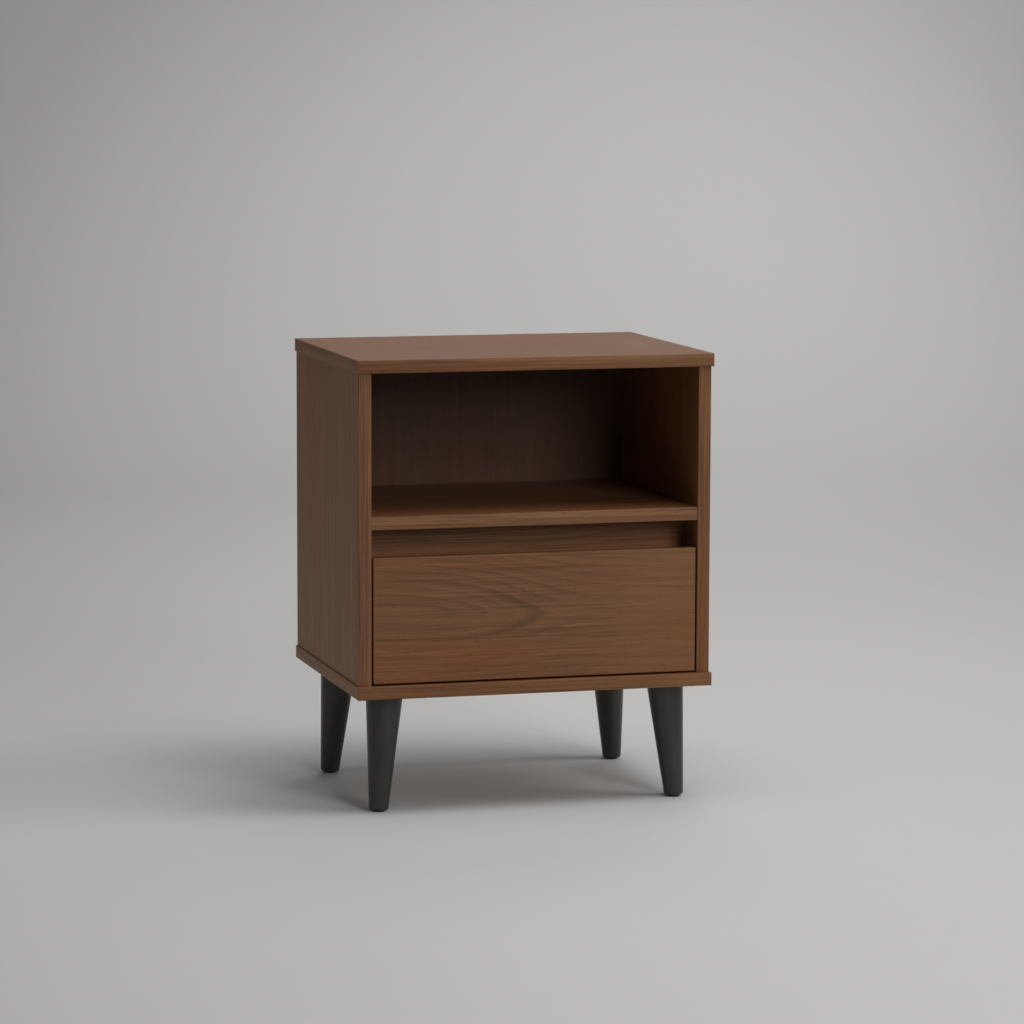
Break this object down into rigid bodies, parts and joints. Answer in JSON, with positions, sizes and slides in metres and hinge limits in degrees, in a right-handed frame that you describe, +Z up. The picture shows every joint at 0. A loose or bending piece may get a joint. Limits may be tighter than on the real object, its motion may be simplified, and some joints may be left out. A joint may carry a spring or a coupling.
{
  "type": "nightstand with drawer",
  "caption": "Walnut-look bedside cabinet with an open compartment over one inset drawer, pulled by a finger gap, on splayed tapered black legs.",
  "frame": {"origin": "on the floor, under the centre of the top panel", "axes": "+Z up, +X to the right as seen from the front, +Y to the rear; the drawer opens towards -Y"},
  "size_m": [0.42, 0.32, 0.52],
  "materials": {
    "walnut_laminate": "satin printed walnut laminate on particle board",
    "walnut_edge_band": "satin walnut-print edge band",
    "drawer_box_board": "matt walnut-print paper foil on particle board",
    "brown_hardboard": "matt painted hardboard",
    "black_lacquered_wood": "satin black lacquer on turned beech",
    "beech_dowel": "raw fluted beech",
    "zinc_plated_steel": "bright zinc plate",
    "bearing_steel": "polished",
    "cast_zinc": "bare die-cast zinc",
    "brass_insert": "turned",
    "brown_plastic": "matt walnut-print cover cap",
    "black_plastic": "moulded, fine texture",
    "black_rubber": "matt"
  },
  "bodies": {
    "cabinet": {"top_panel": "walnut_laminate", "top_edge_bands": "walnut_edge_band", "bottom_panel": "walnut_laminate", "bottom_edge_bands": "walnut_edge_band", "left_side_panel": "walnut_laminate", "right_side_panel": "walnut_laminate", "side_edge_bands": "walnut_edge_band", "shelf_panel": "walnut_laminate", "shelf_edge_band": "walnut_edge_band", "back_panel": "brown_hardboard", "finger_rail": "walnut_laminate", "rail_edge_band": "walnut_edge_band", "carcass_dowels": "beech_dowel", "carcass_cam_bolts": "zinc_plated_steel", "carcass_cam_locks": "cast_zinc", "cam_cover_caps": "brown_plastic", "left_slide_cabinet_member": "zinc_plated_steel", "right_slide_cabinet_member": "zinc_plated_steel", "slide_cabinet_screws": "zinc_plated_steel", "slide_bumpers": "black_rubber", "front_left_leg": "black_lacquered_wood", "front_right_leg": "black_lacquered_wood", "rear_left_leg": "black_lacquered_wood", "rear_right_leg": "black_lacquered_wood", "leg_mounts": "black_plastic", "leg_mount_screws": "zinc_plated_steel", "leg_inserts": "brass_insert", "leg_hanger_bolts": "zinc_plated_steel", "leg_glides": "black_plastic"},
    "drawer": {"drawer_front": "walnut_laminate", "drawer_front_edge_bands": "walnut_edge_band", "drawer_left_side": "drawer_box_board", "drawer_right_side": "drawer_box_board", "drawer_back": "drawer_box_board", "drawer_base": "brown_hardboard", "drawer_box_edge_bands": "walnut_edge_band", "drawer_cam_bolts": "zinc_plated_steel", "drawer_cam_locks": "cast_zinc", "drawer_dowels": "beech_dowel", "drawer_back_screws": "zinc_plated_steel", "left_slide_drawer_member": "zinc_plated_steel", "right_slide_drawer_member": "zinc_plated_steel", "slide_drawer_screws": "zinc_plated_steel", "lever_rivets": "zinc_plated_steel"},
    "left_slide_middle": {"left_slide_middle_member": "zinc_plated_steel"},
    "right_slide_middle": {"right_slide_middle_member": "zinc_plated_steel"},
    "left_outer_cage": {"left_outer_ball_retainers": "black_plastic", "left_outer_balls": "bearing_steel"},
    "right_outer_cage": {"right_outer_ball_retainers": "black_plastic", "right_outer_balls": "bearing_steel"},
    "left_inner_cage": {"left_inner_ball_retainers": "black_plastic", "left_inner_balls": "bearing_steel"},
    "right_inner_cage": {"right_inner_ball_retainers": "black_plastic", "right_inner_balls": "bearing_steel"},
    "left_lever": {"left_release_lever": "black_plastic"},
    "right_lever": {"right_release_lever": "black_plastic"}
  },
  "joints": [
    {"name": "drawer_slide", "type": "slide", "parent": "cabinet", "child": "drawer", "axis": [0, -1, 0], "range_m": [0, 0.25]},
    {"name": "left_middle_slide", "type": "slide", "parent": "cabinet", "child": "left_slide_middle", "axis": [0, -1, 0], "range_m": [0, 0.125]},
    {"name": "left_outer_cage_roll", "type": "slide", "parent": "cabinet", "child": "left_outer_cage", "axis": [0, -1, 0], "range_m": [0, 0.0625]},
    {"name": "left_inner_cage_roll", "type": "slide", "parent": "cabinet", "child": "left_inner_cage", "axis": [0, -1, 0], "range_m": [0, 0.1875]},
    {"name": "right_middle_slide", "type": "slide", "parent": "cabinet", "child": "right_slide_middle", "axis": [0, -1, 0], "range_m": [0, 0.125]},
    {"name": "right_outer_cage_roll", "type": "slide", "parent": "cabinet", "child": "right_outer_cage", "axis": [0, -1, 0], "range_m": [0, 0.0625]},
    {"name": "right_inner_cage_roll", "type": "slide", "parent": "cabinet", "child": "right_inner_cage", "axis": [0, -1, 0], "range_m": [0, 0.1875]},
    {"name": "left_lever_press", "type": "hinge", "parent": "drawer", "child": "left_lever", "pos_m": [-0.1844, 0.0325, 0.2205], "axis": [1, 0, 0], "range_deg": [0, 10], "stiffness_Nm_per_rad": 0.02},
    {"name": "right_lever_press", "type": "hinge", "parent": "drawer", "child": "right_lever", "pos_m": [0.1844, 0.0325, 0.2205], "axis": [1, 0, 0], "range_deg": [0, 10], "stiffness_Nm_per_rad": 0.02}
  ],
  "couplings": [
    {"joint": "left_middle_slide", "follows": "drawer_slide", "ratio": 0.5},
    {"joint": "left_outer_cage_roll", "follows": "drawer_slide", "ratio": 0.25},
    {"joint": "left_inner_cage_roll", "follows": "drawer_slide", "ratio": 0.75},
    {"joint": "right_middle_slide", "follows": "drawer_slide", "ratio": 0.5},
    {"joint": "right_outer_cage_roll", "follows": "drawer_slide", "ratio": 0.25},
    {"joint": "right_inner_cage_roll", "follows": "drawer_slide", "ratio": 0.75}
  ]
}
